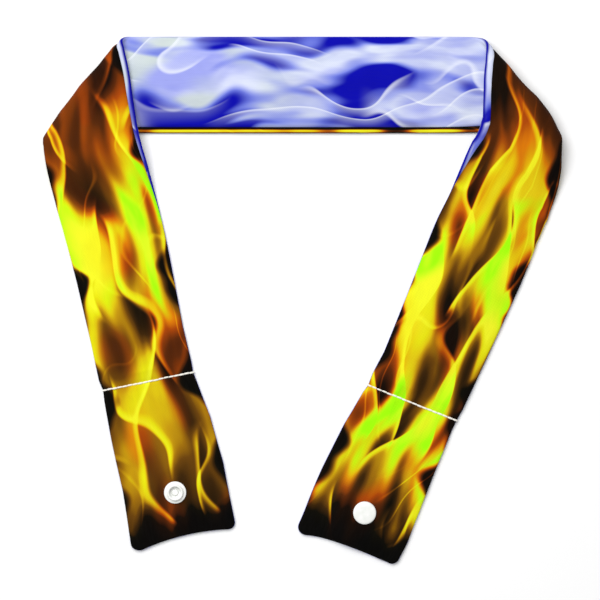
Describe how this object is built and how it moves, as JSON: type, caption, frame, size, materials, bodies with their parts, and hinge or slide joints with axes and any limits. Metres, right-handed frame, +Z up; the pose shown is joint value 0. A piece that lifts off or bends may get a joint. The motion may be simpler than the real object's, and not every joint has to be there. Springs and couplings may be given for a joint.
{
  "type": "cooling neck wrap",
  "caption": "Long flat cloth tube for the neck, lying with both arms folded over the middle, with stitched-off tabs and a resin snap.",
  "frame": {"origin": "centre of the box of the whole wrap, on the table it lies on", "axes": "+Z up from the table, +Y towards the middle stretch, +X towards the arm with the plain cap"},
  "size_m": [0.2834, 0.2854, 0.0114],
  "materials": {
    "flame_cloth": "plain woven cotton, printed, matt",
    "smoke_cloth": "plain woven cotton, printed, matt",
    "white_resin": "moulded, satin gloss",
    "white_thread": "twisted sewing thread, matt"
  },
  "bodies": {
    "root": {"flame_panel": "flame_cloth", "smoke_panel": "smoke_cloth", "left_snap_socket": "white_resin", "left_snap_cap": "white_resin", "right_snap_cap": "white_resin", "right_snap_stud": "white_resin"}
  },
  "joints": []
}
